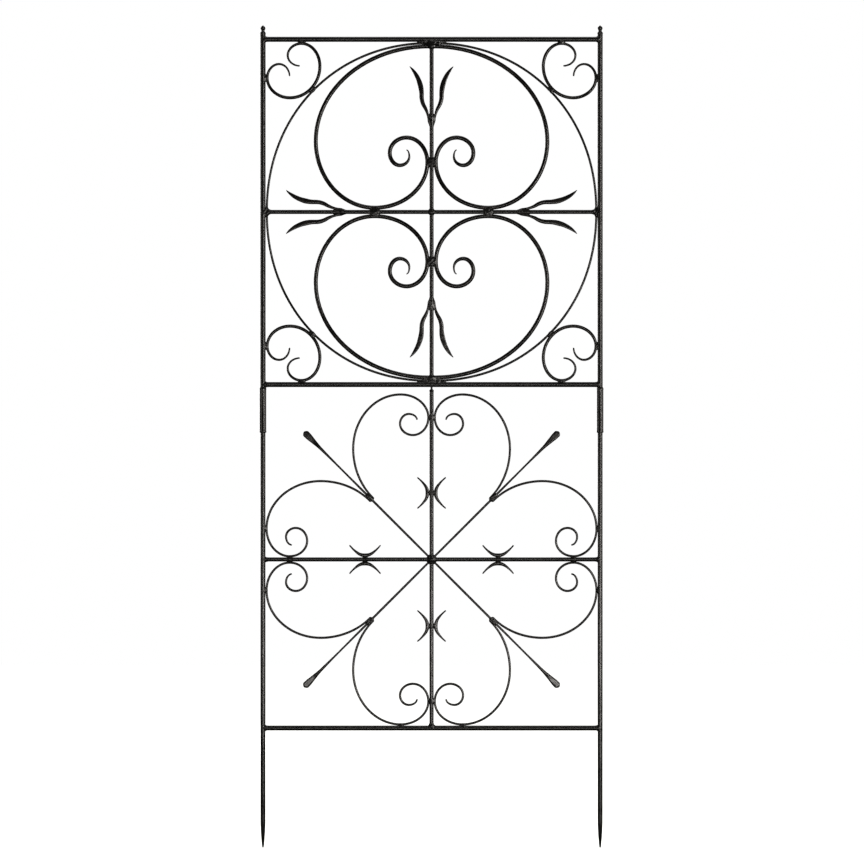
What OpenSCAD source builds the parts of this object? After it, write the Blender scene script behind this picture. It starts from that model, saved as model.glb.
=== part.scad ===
// Two-section garden trellis: an upper panel with ring and scrolls that drops
// onto a lower panel with heart scrolls and two ground stakes.
// X runs across the panel, Y through it, Z up. Z = 0 is at the stake tips.

/* [Panel sizes] */
// Distance between the centrelines of the two stiles
panel_w = 750; // [600:10:900]
// Height of the upper panel, between its bottom and top rail centrelines
upper_h = 768; // [600:8:960]
// Height of the field that the lower panel's pattern fills
lower_h = 750; // [600:10:900]
// Height of the bottom rail above the stake tips
stake_len = 266; // [180:2:360]
// Room between the lower pattern's field and the seam rail
seam_room = 14; // [8:1:30]
// Length of the forged point at the foot of each post
point_len = 62; // [40:1:100]

/* [Rods] */
// Diameter of the upper panel's stiles
stile_d = 11.4; // [9:0.2:14]
// Diameter of the top, seam and bottom rails
rail_d = 11; // [9:0.5:13]
// Diameter of the centre bars and middle bars
bar_d = 9; // [7:0.5:11]
// Diameter of the big scrolls
scroll_d = 9; // [7:0.5:11]
// Diameter of the corner scrolls
corner_d = 7; // [5:0.5:8]
// Diameter of the large ring
ring_d = 5; // [4:0.5:7]
// Diameter of the heart scrolls
heart_d = 4.5; // [4:0.5:7]
// Diameter of the four diagonal rays
ray_d = 4.5; // [4:0.5:7]

/* [Sleeve joint] */
// Outer diameter of the sleeves
sleeve_d = 15; // [14:0.5:19]
// Length of the sleeves
sleeve_len = 100; // [60:2:140]
// How far the stile end reaches down inside its sleeve
stile_in_sleeve = 14; // [8:1:30]
// Least radial clearance between a post and its sleeve
slide_clear = 0.4; // [0.2:0.05:0.6]
// Diameter of the locating peg on the lower centre bar
peg_d = 4.5; // [3.5:0.5:5.5]
// How far the locating peg enters the seam rail
peg_in = 4.5; // [3:0.5:5]

/* [Finials] */
// Height of a finial above its stile
finial_h = 19; // [14:1:40]
// Widest diameter of the finial's bud
bud_d = 11; // [8:0.5:14]
// How far a stile stands above the top rail's centreline
stile_over = 12; // [8:1:30]

/* [Forged ornaments] */
// Greatest width of a leaf
leaf_w = 10.5; // [8:0.5:14]
// Distance of the leaf roots from the centre of the upper panel
leaf_at = 203; // [190:1:212]
// Radius of a crescent's back
crescent_r = 28; // [24:1:33]
// Width of a crescent at its middle
crescent_w = 8.5; // [7:0.5:10]
// Distance of the crescents from the hub
crescent_at = 148; // [130:2:160]
// Greatest width of the flattened head of a ray
ray_head_w = 15; // [10:0.5:18]
// Length of that head
ray_head_len = 68; // [50:2:80]

/* [Hidden] */
SIDES = ["left", "right"];
LEVELS = ["top", "bottom"];

$fn = 48;
// Gap left under a weld between two rods that touch
weld_gap = 0.3;
// Gap between a rod's sawn end and the bar that it is welded to
end_gap = 1;
// Satin black paint, and the slightly greyer paint on thick rods
paint = "#1d1c1b";
paint_rod = "#2a2928";

half_w = panel_w / 2;
bottom_z = stake_len;
hub_z = bottom_z + lower_h / 2;
seam_z = bottom_z + lower_h + seam_room;
mid_z = seam_z + upper_h / 2;
top_z = seam_z + upper_h;
stile_r = stile_d / 2;
bore_r = stile_r + 0.1;
post_r = bore_r - slide_clear;
post_d = 2 * post_r;
rail_r = rail_d / 2;
bar_r = bar_d / 2;

// The sleeve hangs just below the seam rail; the post butts against the stile inside it
sleeve_top = seam_z - rail_r - 1.5;
joint_z = sleeve_top - stile_in_sleeve;
stile_top = top_z + stile_over;
stake_tip_r = 1.5;

// Peg hole in the underside of the seam rail
peg_clear = 0.3;
hole_depth = peg_in + 1;
peg_top = seam_z - rail_r + peg_in;
shoulder_z = seam_z - rail_r - 6;

// The finial's spigot and the hole for it in the stile
spigot_d = 6;
spigot_len = 5;
spigot_clear = 0.05;

// Ring, a slightly squared ellipse that just clears the stiles and the rails
ring_power = 2.1;
ring_rx = half_w - stile_r - ring_d / 2 - weld_gap;
ring_rz = upper_h / 2 - rail_r - ring_d / 2 - weld_gap;
ring_inside_x = ring_rx - ring_d / 2;
ring_inside_z = ring_rz - ring_d / 2;
function ring_point(a) =
    let (s = sin(a), c = cos(a))
    [ring_rx * sign(s) * abs(s) ^ (2 / ring_power), ring_rz * sign(c) * abs(c) ^ (2 / ring_power)];

// Reach of the heart scrolls from the hub
heart_reach_x = half_w - post_r - heart_d / 2 - weld_gap;
heart_reach_z = lower_h / 2 - rail_r - heart_d / 2 - weld_gap;

// ---------- Curves, as lists of [x, z] points ----------

// A quarter of an ellipse from a to b; it leaves a along x when level is true
quarter_steps = 8;
function quarter(a, b, level) = [
    for (i = [1 : quarter_steps])
        let (t = 90 * i / quarter_steps)
        level
            ? [a.x + (b.x - a.x) * sin(t), b.y + (a.y - b.y) * cos(t)]
            : [b.x + (a.x - b.x) * cos(t), a.y + (b.y - a.y) * sin(t)]
];

// A scroll through its turning points, where it runs along x and along z by turns
function spiral(stops, level) = [
    stops[0],
    for (k = [0 : len(stops) - 2]) each quarter(stops[k], stops[k + 1], (k % 2 == 0) == level)
];

// An arc of radius r that starts at p with heading h and turns by sweep
function arc(p, h, r, sweep, steps) = [
    for (i = [1 : steps])
        let (a = sweep * i / steps, s = sign(sweep))
        [p.x + s * r * (sin(h + a) - sin(h)), p.y - s * r * (cos(h + a) - cos(h))]
];

// A chain of [radius, sweep] arcs from p, each starting where the last one ends
function chain(p, h, arcs, steps, k = 0) =
    k == len(arcs) ? [p] :
    let (next = arc(p, h, arcs[k][0], arcs[k][1], steps))
    [p, for (i = [0 : steps - 2]) next[i], each chain(next[steps - 1], h + arcs[k][1], arcs, steps, k + 1)];

function unit(v) = v / norm(v);
function direction(path, i) = unit(path[min(i + 1, len(path) - 1)] - path[max(i - 1, 0)]);

// Share of full thickness left at place u of a rod that tapers from place start to its tip
function taper(u, start, tip) = u <= start ? 1 : 1 - (1 - tip) * (u - start) / (1 - start);

// ---------- Swept and placed shapes ----------

// Sweep a ring of the given width (in the panel) and thickness (through it) along path
module forged(path, width, thick, sides = 8) {
    last = len(path) - 1;
    full = 1 / cos(180 / sides);
    points = [
        for (i = [0 : last], j = [0 : sides - 1])
            let (d = direction(path, i), a = 360 * (j + 0.5) / sides, c = full * cos(a) * width[i] / 2)
            [path[i].x - d.y * c, full * sin(a) * thick[i] / 2, path[i].y + d.x * c]
    ];
    faces = [
        [for (j = [sides - 1 : -1 : 0]) j],
        [for (j = [0 : sides - 1]) last * sides + j],
        for (i = [0 : last - 1], j = [0 : sides - 1])
            let (k = (j + 1) % sides)
            each [
                [i * sides + j, i * sides + k, (i + 1) * sides + k],
                [i * sides + j, (i + 1) * sides + k, (i + 1) * sides + j]
            ]
    ];
    polyhedron(points = points, faces = faces, convexity = 6);
}

// A rod of diameter d along path, thinned to a tip from place start on
module tapered_rod(path, d, start, tip, sides = 8) {
    n = len(path) - 1;
    widths = [for (i = [0 : n]) d * taper(i / n, start, tip)];
    forged(path, widths, widths, sides);
}

// Turn a shape made for the top right quarter into any other quarter
module quarter_of(level, side)
    mirror([side == "left" ? 1 : 0, 0, 0])
        mirror([0, 0, level == "bottom" ? 1 : 0])
            children();

module across(x1, x2, z, d)
    translate([x1, 0, z]) rotate([0, 90, 0]) cylinder(d = d, h = x2 - x1);

module upright(x, z1, z2, d)
    translate([x, 0, z1]) cylinder(d = d, h = z2 - z1);

module bead(x, z, r)
    translate([x, 0, z]) sphere(r = r);

function side_x(side) = side == "left" ? -half_w : half_w;
function rail_end(side, upright_r) = side_x(side) * (1 - upright_r / half_w);

// ---------- Upper panel ----------

module stile(side) color(paint_rod)
    difference() {
        upright(side_x(side), joint_z, stile_top, stile_d);
        upright(side_x(side), stile_top - spigot_len - 1, stile_top + 1, spigot_d + 2 * spigot_clear);
    }

module sleeve(side) color(paint_rod)
    difference() {
        upright(side_x(side), sleeve_top - sleeve_len, sleeve_top, sleeve_d);
        upright(side_x(side), sleeve_top - sleeve_len - 1, sleeve_top + 1, 2 * bore_r);
    }

module finial(side) {
    bud_r = bud_d / 2;
    neck_r = 0.62 * bud_r;
    collar_r = stile_r + 0.5;
    color(paint) translate([side_x(side), 0, stile_top])
        rotate_extrude()
            polygon([
                [0, -spigot_len], [spigot_d / 2, -spigot_len], [spigot_d / 2, 0],
                [collar_r, 0], [collar_r, 0.16 * finial_h], [0.9 * collar_r, 0.22 * finial_h],
                [neck_r, 0.32 * finial_h], [neck_r, 0.4 * finial_h],
                [0.92 * bud_r, 0.6 * finial_h], [bud_r, 0.68 * finial_h], [0.92 * bud_r, 0.75 * finial_h],
                [0.35 * bud_r, 0.94 * finial_h], [0.12 * bud_r, finial_h], [0, finial_h]
            ]);
}

// A rail between two uprights of diameter upright_d, its ends shaped to their round sides
module rail(z, upright_d) color(paint_rod)
    difference() {
        across(-half_w, half_w, z, rail_d);
        for (side = SIDES)
            upright(side_x(side), z - rail_d, z + rail_d, upright_d + 2 * weld_gap);
    }

module seam_rail()
    difference() {
        rail(seam_z, stile_d);
        upright(0, seam_z - rail_r - 1, seam_z - rail_r + hole_depth, peg_d + 2 * peg_clear);
    }

module upper_centre_bar() color(paint)
    upright(0, mid_z - ring_inside_z + end_gap, mid_z + ring_inside_z - end_gap, bar_d);

// Half of a middle bar, shaped to the centre bar at its inner end
module half_bar(side, z, reach) color(paint)
    difference() {
        mirror([side == "left" ? 1 : 0, 0, 0]) across(0, reach, z, bar_d);
        upright(0, z - bar_d, z + bar_d, bar_d + 2 * weld_gap);
    }

module ring() {
    steps = 80;
    path = [for (i = [0 : steps - 1]) [0, mid_z] + ring_point(360 * i / steps)];
    sides = 8;
    full = ring_d / 2 / cos(180 / sides);
    points = [
        for (i = [0 : steps - 1], j = [0 : sides - 1])
            let (d = unit(path[(i + 1) % steps] - path[(i + steps - 1) % steps]), a = 360 * (j + 0.5) / sides)
            [path[i].x - d.y * full * cos(a), full * sin(a), path[i].y + d.x * full * cos(a)]
    ];
    faces = [
        for (i = [0 : steps - 1], j = [0 : sides - 1])
            let (k = (j + 1) % sides, m = (i + 1) % steps)
            each [
                [i * sides + j, i * sides + k, m * sides + k],
                [i * sides + j, m * sides + k, m * sides + j]
            ]
    ];
    color(paint) polyhedron(points = points, faces = faces, convexity = 6);
}

// Turning points of the big scroll in the top right quarter, from the middle of the panel
big_touch = bar_r + scroll_d / 2 + weld_gap;
big_start_z = ring_inside_z - scroll_d / 2 - weld_gap;
function big_stops() =
    let (w = half_w, h = upper_h / 2)
    [
        [bar_r + end_gap, big_start_z], [0.687 * w, 0.41 * h], [0.337 * w, big_touch],
        [big_touch, 0.288 * h], [0.148 * w, 0.431 * h], [0.248 * w, 0.342 * h],
        [0.188 * w, 0.27 * h], [0.132 * w, 0.322 * h], [0.15 * w, 0.36 * h]
    ];

module big_scroll(level, side) color(paint)
    translate([0, 0, mid_z]) quarter_of(level, side)
        tapered_rod(spiral(big_stops(), true), scroll_d, 0.72, 0.2);

// Turning points of a corner scroll in the top right quarter, from the middle of the panel
corner_touch_x = half_w - stile_r - corner_d / 2 - weld_gap;
corner_touch_z = upper_h / 2 - rail_r - corner_d / 2 - weld_gap;
// Where its centreline passes closest to the ring
corner_near_ring = ring_point(45)
    + (corner_d / 2 + ring_d / 2 + weld_gap) * unit([1 / ring_rx, 1 / ring_rz]);
function corner_stops() =
    let (
        w = half_w,
        h = upper_h / 2,
        middle = [w - 60, h - 60],
        far = middle - sqrt(2) * (middle - corner_near_ring)
    )
    [
        [w - 82, h - 59], [w - 55, h - 36], [w - 86, corner_touch_z], [far.x, middle.y],
        [middle.x, far.y], [corner_touch_x, h - 86], [w - 36, h - 55], [w - 59, h - 82]
    ];

module corner_scroll(level, side) {
    path = spiral(corner_stops(), true);
    n = len(path) - 1;
    widths = [for (i = [0 : n]) corner_d * taper(abs(2 * i / n - 1), 0.4, 0.4)];
    color(paint) translate([0, 0, mid_z]) quarter_of(level, side) forged(path, widths, widths, 6);
}

// A leaf that grows upwards from z = 0 on the right of an upright bar
leaf_root_w = 4.5;
module leaf_shape() {
    steps = 5;
    start = [bar_r + leaf_root_w / 2 + weld_gap, 0];
    path = chain(start, 90, [[60, -31], [46, 32], [90, -46]], steps);
    n = len(path) - 1;
    width = [for (i = [0 : n]) lookup(i / n, [
        [0, leaf_root_w], [0.33, 0.78 * leaf_w], [0.5, 0.9 * leaf_w], [0.72, leaf_w],
        [0.87, 0.8 * leaf_w], [1, 1.2]])];
    thick = [for (i = [0 : n]) lookup(i / n, [[0, leaf_root_w], [0.5, 6], [0.8, 4.5], [1, 1.2]])];
    forged(path, width, thick);
}

// A leaf on the centre bar, at its top or bottom
module leaf_on_centre_bar(level, side) color(paint)
    translate([0, 0, mid_z]) quarter_of(level, side)
        translate([0, 0, leaf_at]) leaf_shape();

// A leaf on a middle bar, above or below it
module leaf_on_mid_bar(side, level) color(paint)
    translate([0, 0, mid_z]) quarter_of(level, side)
        translate([leaf_at, 0, 0]) rotate([0, 90, 0]) mirror([1, 0, 0]) leaf_shape();

joint_bead = 7;
touch_bead = 5.5;
small_bead = 4.5;

module upper_welds() color(paint) {
    for (side = SIDES) {
        // Ring of weld round the stile at the top of its sleeve
        translate([side_x(side), 0, sleeve_top])
            rotate_extrude() translate([stile_r + 0.4, 0]) circle(r = 1.3);
        for (z = [top_z, seam_z])
            bead(rail_end(side, stile_r), z, joint_bead);
    }
    // Ring to stiles and rails, with the ends of the bars
    for (s = [-1, 1]) {
        bead(s * ring_rx, mid_z, joint_bead);
        bead(0, mid_z + s * ring_rz, joint_bead);
    }
    bead(0, mid_z, joint_bead);
    for (level = LEVELS, side = SIDES)
        translate([0, 0, mid_z]) quarter_of(level, side) {
            bead(bar_r + end_gap, big_start_z, touch_bead);
            bead(big_stops()[2].x, bar_r, touch_bead);
            bead(bar_r, big_stops()[3].y, touch_bead);
            bead(corner_stops()[2].x, upper_h / 2 - rail_r, small_bead);
            bead(half_w - stile_r, corner_stops()[5].y, small_bead);
            bead(corner_near_ring.x - 2, corner_near_ring.y - 2, small_bead);
            bead(bar_r + 1, leaf_at + 4, small_bead);
            bead(leaf_at + 4, bar_r + 1, small_bead);
        }
}

// ---------- Lower panel ----------

module post(side) color(paint_rod) {
    upright(side_x(side), point_len, joint_z, post_d);
    translate([side_x(side), 0, 0]) cylinder(r1 = stake_tip_r, r2 = post_r, h = point_len);
}

// Centre bar with a rounded shoulder and the peg that locates the upper panel
module lower_centre_bar() {
    foot = bottom_z + rail_r + weld_gap;
    color(paint) translate([0, 0, foot])
        rotate_extrude()
            polygon([
                [0, 0], [bar_r, 0], [bar_r, shoulder_z - foot - 4],
                [bar_r + 0.6, shoulder_z - foot - 2.5], [bar_r + 0.4, shoulder_z - foot - 1],
                [peg_d / 2, shoulder_z - foot + 1], [peg_d / 2, peg_top - foot - 0.5],
                [peg_d / 2 - 0.5, peg_top - foot], [0, peg_top - foot]
            ]);
}

// Direction of the rays, from the hub to the corner of the lower field
ray_dir = unit([half_w, lower_h / 2]);
ray_start = 1.5 + sqrt(2) * (bar_r + ray_d / 2);
ray_end = 0.757 * norm([half_w, lower_h / 2]);
// Where the heart scrolls join a ray
fork = 0.355 * norm([half_w, lower_h / 2]);

module ray(level, side) {
    neck_d = 1.15 * ray_d;
    head = [[0, neck_d], [0.35, 0.47 * ray_head_w], [0.65, 0.8 * ray_head_w], [0.85, ray_head_w],
        [0.95, 0.85 * ray_head_w], [1, 0.5 * ray_head_w]];
    steps = 9;
    neck = ray_end - ray_head_len;
    path = [
        ray_start * ray_dir, (fork + 25) * ray_dir,
        for (i = [0 : steps]) (neck + ray_head_len * i / steps) * ray_dir
    ];
    width = [ray_d, ray_d, for (i = [0 : steps]) lookup(i / steps, head)];
    thick = [ray_d, ray_d, for (i = [0 : steps]) lookup(i / steps, [[0, neck_d], [0.85, 6], [1, 4]])];
    color(paint) translate([0, 0, hub_z]) quarter_of(level, side) forged(path, width, thick);
}

// Centreline of a heart scroll from the hub: it leaves the ray at its fork, swings out and
// curls back against the bar. reach is how far it goes along that bar, span across it.
heart_touch = bar_r + heart_d / 2 + weld_gap;
heart_turn = 50;
function heart_path(span, reach, dir) =
    let (
        off = ray_d / 2 + heart_d / 2 + weld_gap,
        start = fork * dir + off * [-dir.y, dir.x],
        out = [0.475 * span, 0.672 * reach],
        a = (out.x - start.x) / (1 - cos(heart_turn)),
        b = (out.y - start.y) / sin(heart_turn),
        lead_steps = 5,
        lead = [for (i = [0 : lead_steps])
            let (t = heart_turn * (i / lead_steps - 1))
            [out.x - a + a * cos(t), out.y + b * sin(t)]],
        curl = spiral([
            out, [0.187 * span, reach], [heart_touch, 0.86 * reach], [0.113 * span, 0.754 * reach],
            [0.191 * span, 0.823 * reach], [0.138 * span, 0.882 * reach], [0.088 * span, 0.846 * reach]
        ], false)
    )
    concat(lead, [for (i = [1 : len(curl) - 1]) curl[i]]);

module heart_scroll(path) color(paint)
    tapered_rod(path, heart_d, 0.88, 0.7, 6);

function upright_heart() = heart_path(heart_reach_x, heart_reach_z, ray_dir);
// The same scroll lying along the middle bar
function level_heart() = [
    for (p = heart_path(heart_reach_z, heart_reach_x, [ray_dir.y, ray_dir.x])) [p.y, p.x]
];

module heart_on_centre_bar(level, side)
    translate([0, 0, hub_z]) quarter_of(level, side) heart_scroll(upright_heart());

module heart_on_mid_bar(side, level)
    translate([0, 0, hub_z]) quarter_of(level, side) heart_scroll(level_heart());

// A crescent that stands on the right of an upright bar with its back to it
module crescent_shape() {
    horn_r = 90;
    back_turn = 36;
    tip_turn = 52;
    tip = [
        bar_r + weld_gap + crescent_w / 2
            + crescent_r * (1 - cos(back_turn)) + horn_r * (cos(back_turn) - cos(tip_turn)),
        -crescent_r * sin(back_turn) - horn_r * (sin(tip_turn) - sin(back_turn))
    ];
    horn = [horn_r, back_turn - tip_turn];
    path = chain(tip, 90 + tip_turn, [horn, [crescent_r, -2 * back_turn], horn], 5);
    n = len(path) - 1;
    width = [for (i = [0 : n]) lookup(i / n, [
        [0, 3], [0.3, 0.6 * crescent_w], [0.5, crescent_w], [0.7, 0.6 * crescent_w], [1, 3]])];
    thick = [for (i = [0 : n]) lookup(i / n, [[0, 3], [0.4, 5], [0.6, 5], [1, 3]])];
    forged(path, width, thick);
}

module crescent_on_centre_bar(level, side) color(paint)
    translate([0, 0, hub_z]) quarter_of(level, side)
        translate([0, 0, crescent_at]) crescent_shape();

module crescent_on_mid_bar(side, level) color(paint)
    translate([0, 0, hub_z]) quarter_of(level, side)
        translate([crescent_at, 0, 0]) rotate([0, 90, 0]) mirror([1, 0, 0]) crescent_shape();

module lower_welds() color(paint) {
    for (side = SIDES) {
        bead(rail_end(side, post_r), bottom_z, joint_bead);
        bead(rail_end(side, post_r), hub_z, joint_bead);
    }
    bead(0, bottom_z + rail_r, joint_bead);
    bead(0, hub_z, joint_bead);
    for (level = LEVELS, side = SIDES)
        translate([0, 0, hub_z]) quarter_of(level, side) {
            bead(ray_start * ray_dir.x, ray_start * ray_dir.y, small_bead);
            bead(fork * ray_dir.x, fork * ray_dir.y, joint_bead);
            bead(bar_r, 0.86 * heart_reach_z, small_bead);
            bead(0.86 * heart_reach_x, bar_r, small_bead);
            bead(half_w - post_r, 0.187 * heart_reach_z, small_bead);
            bead(bar_r, crescent_at, small_bead);
            bead(crescent_at, bar_r, small_bead);
        }
    for (s = [-1, 1])
        bead(s * 0.187 * heart_reach_x, bottom_z + rail_r, small_bead);
}

// ---------- The nodes ----------

stile("left");  // left_stile
stile("right");  // right_stile
sleeve("left");  // left_sleeve
sleeve("right");  // right_sleeve
finial("left");  // left_finial
finial("right");  // right_finial
rail(top_z, stile_d);  // top_rail
seam_rail();
upper_centre_bar();
half_bar("left", mid_z, ring_inside_x - end_gap);  // upper_mid_bar_left
half_bar("right", mid_z, ring_inside_x - end_gap);  // upper_mid_bar_right
ring();
for (v = LEVELS, s = SIDES) {
    big_scroll(v, s);
    corner_scroll(v, s);
    leaf_on_centre_bar(v, s);
    leaf_on_mid_bar(s, v);
}
upper_welds();
post("left");  // left_post
post("right");  // right_post
rail(bottom_z, post_d);  // bottom_rail
lower_centre_bar();
half_bar("left", hub_z, half_w - post_r - end_gap);  // lower_mid_bar_left
half_bar("right", hub_z, half_w - post_r - end_gap);  // lower_mid_bar_right
for (v = LEVELS, s = SIDES) {
    ray(v, s);
    heart_on_centre_bar(v, s);
    heart_on_mid_bar(s, v);
    crescent_on_centre_bar(v, s);
    crescent_on_mid_bar(s, v);
}
lower_welds();
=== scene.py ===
"""Looks for a two-section garden trellis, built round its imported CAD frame.

Straight bars keep their CAD solids. Everything that was bent, forged, turned or
welded is drawn again here with round sections, soft tips and real weld metal.
"""

import math
from itertools import product

import bmesh
import bpy
import numpy as np
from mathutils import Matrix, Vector


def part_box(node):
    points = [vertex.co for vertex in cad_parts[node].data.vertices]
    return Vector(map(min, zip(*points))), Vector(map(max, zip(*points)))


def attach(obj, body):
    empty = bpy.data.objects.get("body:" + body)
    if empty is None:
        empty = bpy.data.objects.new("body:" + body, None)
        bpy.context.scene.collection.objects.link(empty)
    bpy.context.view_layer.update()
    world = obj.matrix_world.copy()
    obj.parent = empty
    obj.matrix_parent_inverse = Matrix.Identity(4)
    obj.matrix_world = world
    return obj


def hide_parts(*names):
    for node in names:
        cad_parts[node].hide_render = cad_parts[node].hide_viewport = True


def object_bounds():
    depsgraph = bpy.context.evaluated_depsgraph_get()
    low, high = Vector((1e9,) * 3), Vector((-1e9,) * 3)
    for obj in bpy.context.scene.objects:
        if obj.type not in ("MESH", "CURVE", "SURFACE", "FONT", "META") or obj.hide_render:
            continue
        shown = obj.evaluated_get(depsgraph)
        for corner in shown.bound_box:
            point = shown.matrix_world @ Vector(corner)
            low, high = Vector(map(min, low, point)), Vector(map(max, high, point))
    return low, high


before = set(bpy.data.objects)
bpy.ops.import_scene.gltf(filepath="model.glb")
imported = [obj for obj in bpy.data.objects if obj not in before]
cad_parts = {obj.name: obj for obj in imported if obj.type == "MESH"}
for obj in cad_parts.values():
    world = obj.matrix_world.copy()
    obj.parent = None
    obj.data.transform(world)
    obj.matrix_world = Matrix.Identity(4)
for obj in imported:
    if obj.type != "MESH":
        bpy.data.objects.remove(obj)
cad_low, cad_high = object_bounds()

MM = 0.001
SIDES = {"left": -1, "right": 1}
LEVELS = {"top": 1, "bottom": -1}
UPPER, LOWER = "upper_panel", "lower_panel"


# ---------- Sizes, read from the CAD nodes ----------

def middle(node, axis):
    low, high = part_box(node)
    return (low[axis] + high[axis]) / 2


def across(node):
    """Diameter of a rod that lies in the panel: its size through the panel."""
    low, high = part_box(node)
    return high.y - low.y


half_w = middle("right_stile", 0)
mid_z = middle("ring", 2)
top_z = middle("top_rail", 2)
seam_z = middle("seam_rail", 2)
bottom_z = middle("bottom_rail", 2)
hub_z = middle("lower_mid_bar_right", 2)
half_h = top_z - mid_z
lower_half = hub_z - bottom_z

stile_r = across("right_stile") / 2
post_r = across("right_post") / 2
rail_r = across("top_rail") / 2
bar_r = across("upper_mid_bar_right") / 2
scroll_d = across("big_scroll_top_right")
ring_d = across("ring")
# Bar sizes of the rods whose ends are drawn out, and the gaps left for welding
corner_d = 7 * MM
heart_d = 4.5 * MM
ray_d = 4.5 * MM
weld_gap = 0.3 * MM
end_gap = 1 * MM

ring_squareness = 2.1
ring_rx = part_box("ring")[1].x - ring_d / 2
ring_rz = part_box("ring")[1].z - mid_z - ring_d / 2
stile_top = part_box("right_stile")[1].z
joint_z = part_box("right_stile")[0].z
sleeve_low, sleeve_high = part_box("right_sleeve")
sleeve_r = (sleeve_high.x - sleeve_low.x) / 2


# ---------- Paths in the plane of the panel, as arrays of [x, z] ----------

def unit(v):
    v = np.asarray(v, float)
    return v / np.linalg.norm(v)


def quarter(a, b, level, count):
    """A quarter of an ellipse from a to b that leaves a along x when level is true."""
    t = np.radians(90) * np.arange(1, count + 1) / count
    if level:
        return np.stack([a[0] + (b[0] - a[0]) * np.sin(t), b[1] + (a[1] - b[1]) * np.cos(t)], 1)
    return np.stack([b[0] + (a[0] - b[0]) * np.cos(t), a[1] + (b[1] - a[1]) * np.sin(t)], 1)


def spiral(stops, level, count=24):
    """A scroll through its turning points, where it runs along x and along z by turns."""
    parts = [np.array([stops[0]], float)]
    for a, b in zip(stops, stops[1:]):
        parts.append(quarter(a, b, level, count))
        level = not level
    return np.concatenate(parts)


def arcs(start, heading, pieces, count=14):
    """A chain of [radius, sweep in degrees] arcs, each tangent to the last one."""
    points = [np.array(start, float)]
    for radius, sweep in pieces:
        a0, p, s = heading, points[-1], math.copysign(1, sweep)
        for i in range(1, count + 1):
            a = a0 + math.radians(sweep) * i / count
            points.append(p + s * radius * np.array([math.sin(a) - math.sin(a0), math.cos(a0) - math.cos(a)]))
        heading = a
    return np.array(points)


def ring_point(a):
    """A point of the big ring, which is a slightly squared ellipse."""
    s, c, power = math.sin(a), math.cos(a), 2 / ring_squareness
    x, z = ring_rx * abs(s) ** power, ring_rz * abs(c) ** power
    return np.array([math.copysign(x, s), math.copysign(z, c)])


def run_of(points):
    """Distance along a path at each of its points."""
    return np.concatenate([[0], np.cumsum(np.linalg.norm(np.diff(points, axis=0), axis=1))])


def evenly(points, step):
    """The same path with points every step metres."""
    s = run_of(points)
    even = np.linspace(0, s[-1], max(int(s[-1] / step), 8) + 1)
    return np.stack([np.interp(even, s, points[:, 0]), np.interp(even, s, points[:, 1])], 1)


def profile(s, keys):
    """Sizes along a path, from [share of its length, size] keys joined by smooth curves."""
    u = s / s[-1]
    x, y = np.array(keys, float).T
    i = np.clip(np.searchsorted(x, u, side="right") - 1, 0, len(x) - 2)
    slope = np.gradient(y, x)
    secant = np.diff(y) / np.diff(x)
    for k in range(1, len(x) - 1):
        if secant[k - 1] * secant[k] <= 0:
            slope[k] = 0
    h = x[i + 1] - x[i]
    t = (u - x[i]) / h
    return ((2 * t ** 3 - 3 * t ** 2 + 1) * y[i] + (t ** 3 - 2 * t ** 2 + t) * h * slope[i]
            + (3 * t ** 2 - 2 * t ** 3) * y[i + 1] + (t ** 3 - t ** 2) * h * slope[i + 1])


def rounded(points, sizes, first, last):
    """Dome the first or last end of a rod. sizes holds one row per point: width, thickness."""
    def dome(points, sizes):
        radius = min(sizes[-1][:2]) / 2
        s = run_of(points)
        keep = s < s[-1] - radius
        base = np.array([np.interp(s[-1] - radius, s, points[:, k]) for k in (0, 1)])
        tip = points[-1]
        turn = np.radians(np.array([0, 20, 40, 58, 72, 82, 88]))
        more = base + (tip - base) * np.sin(turn)[:, None]
        scale = np.cos(turn)[:, None]
        more_sizes = sizes[-1] * np.concatenate([scale, scale, np.ones((len(turn), sizes.shape[1] - 2))], 1)
        return np.concatenate([points[keep], more]), np.concatenate([sizes[keep], more_sizes])
    if last:
        points, sizes = dome(points, sizes)
    if first:
        points, sizes = dome(points[::-1], sizes[::-1])
        points, sizes = points[::-1], sizes[::-1]
    return points, sizes


def placed(points, level, side, centre_z):
    """A path made for the top right quarter, moved to any quarter of its panel."""
    return np.stack([points[:, 0] * SIDES[side], centre_z + points[:, 1] * LEVELS[level]], 1)


# ---------- The shapes of the bent and forged pieces ----------

# Where two big scrolls meet on the middle bar, and where they meet across the centre bar
scroll_meet_x = 0.337 * half_w
scroll_meet_z = 0.288 * half_h
# Where a corner scroll touches its rail and its stile, measured from the corner
corner_touch = 86 * MM
# Where a heart touches the frame and the bar inside it, as shares of the heart's reach
heart_out = 0.187
heart_in = 0.86


def big_scroll_path():
    w, h = half_w, half_h
    touch = bar_r + scroll_d / 2 + weld_gap
    return spiral([
        [bar_r + end_gap, ring_rz - ring_d / 2 - scroll_d / 2 - weld_gap], [0.687 * w, 0.41 * h],
        [scroll_meet_x, touch], [touch, scroll_meet_z], [0.148 * w, 0.431 * h], [0.248 * w, 0.342 * h],
        [0.188 * w, 0.27 * h], [0.132 * w, 0.322 * h], [0.15 * w, 0.36 * h]], True)


def corner_scroll_path():
    w, h = half_w, half_h
    clear = corner_d / 2 + ring_d / 2 + weld_gap
    near = ring_point(math.radians(45)) + clear * unit([1 / ring_rx, 1 / ring_rz])
    mid = np.array([w - 60 * MM, h - 60 * MM])
    far = mid - math.sqrt(2) * (mid - near)
    return spiral([
        [w - 82 * MM, h - 59 * MM], [w - 55 * MM, h - 36 * MM],
        [w - corner_touch, h - rail_r - corner_d / 2 - weld_gap], [far[0], mid[1]], [mid[0], far[1]],
        [w - stile_r - corner_d / 2 - weld_gap, h - corner_touch], [w - 36 * MM, h - 55 * MM],
        [w - 59 * MM, h - 82 * MM]], True)


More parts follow.
